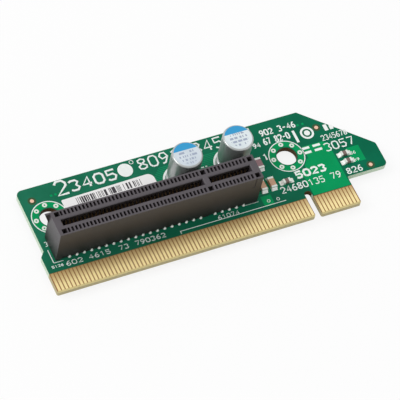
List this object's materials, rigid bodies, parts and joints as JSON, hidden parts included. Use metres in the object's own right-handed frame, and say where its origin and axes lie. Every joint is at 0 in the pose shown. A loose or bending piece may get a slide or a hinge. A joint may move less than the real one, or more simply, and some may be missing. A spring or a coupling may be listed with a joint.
{
  "type": "pcie riser card",
  "caption": "Small green riser board with a gold card edge, a straight card socket standing on it, round capacitors, chips and plated mounting holes.",
  "frame": {"origin": "under the middle of the card, on the plane that the tips of the socket's tails stand on", "axes": "+X along the card edge towards its key notch and the shorter group of fingers, +Y from the card edge to the board's top edge, +Z out of the component side"},
  "size_m": [0.0962, 0.031, 0.0144],
  "materials": {
    "solder_mask": "green solder mask over glass-fibre laminate, satin gloss",
    "gold_plating": "thin gold plating over copper, polished",
    "tinned_copper": "bright tinned copper, slightly grainy",
    "bare_copper": "bare copper with a clear finish",
    "housing_plastic": "dark grey moulded liquid-crystal polymer, faintly mottled",
    "contact_metal": "gold-flashed phosphor bronze",
    "solder": "bright solder",
    "can_aluminium": "lacquered aluminium can, satin, with a blue polarity segment",
    "seal_rubber": "black rubber bung",
    "lead_wire": "tinned copper-clad wire",
    "tan_ceramic": "matte tan ceramic",
    "grey_ceramic": "matte grey-brown ceramic",
    "terminal_tin": "tin-plated terminal",
    "label_paper": "white coated paper label"
  },
  "bodies": {
    "root": {"barcode_label": "label_paper", "can_chip_body": "tan_ceramic", "can_chip_terminals": "terminal_tin", "chip_solder": "solder", "circuit_board": "solder_mask", "far_inner_contacts": "contact_metal", "far_outer_contacts": "contact_metal", "fiducial_marks": "bare_copper", "gold_fingers_back": "gold_plating", "gold_fingers_front": "gold_plating", "left_capacitor_can": "can_aluminium", "left_capacitor_leads": "lead_wire", "left_capacitor_seal": "seal_rubber", "left_capacitor_solder": "solder", "lower_wing_chip_body": "grey_ceramic", "lower_wing_chip_terminals": "terminal_tin", "middle_chip_body": "grey_ceramic", "middle_chip_terminals": "terminal_tin", "mounting_hole_vias_left": "tinned_copper", "mounting_hole_vias_right": "tinned_copper", "near_inner_contacts": "contact_metal", "near_outer_contacts": "contact_metal", "right_capacitor_can": "can_aluminium", "right_capacitor_leads": "lead_wire", "right_capacitor_seal": "seal_rubber", "right_capacitor_solder": "solder", "socket_chip_left_body": "tan_ceramic", "socket_chip_left_terminals": "terminal_tin", "socket_chip_right_body": "tan_ceramic", "socket_chip_right_terminals": "terminal_tin", "socket_housing": "housing_plastic", "socket_solder_joints": "solder", "upper_wing_chip_body": "grey_ceramic", "upper_wing_chip_terminals": "terminal_tin"}
  },
  "joints": []
}
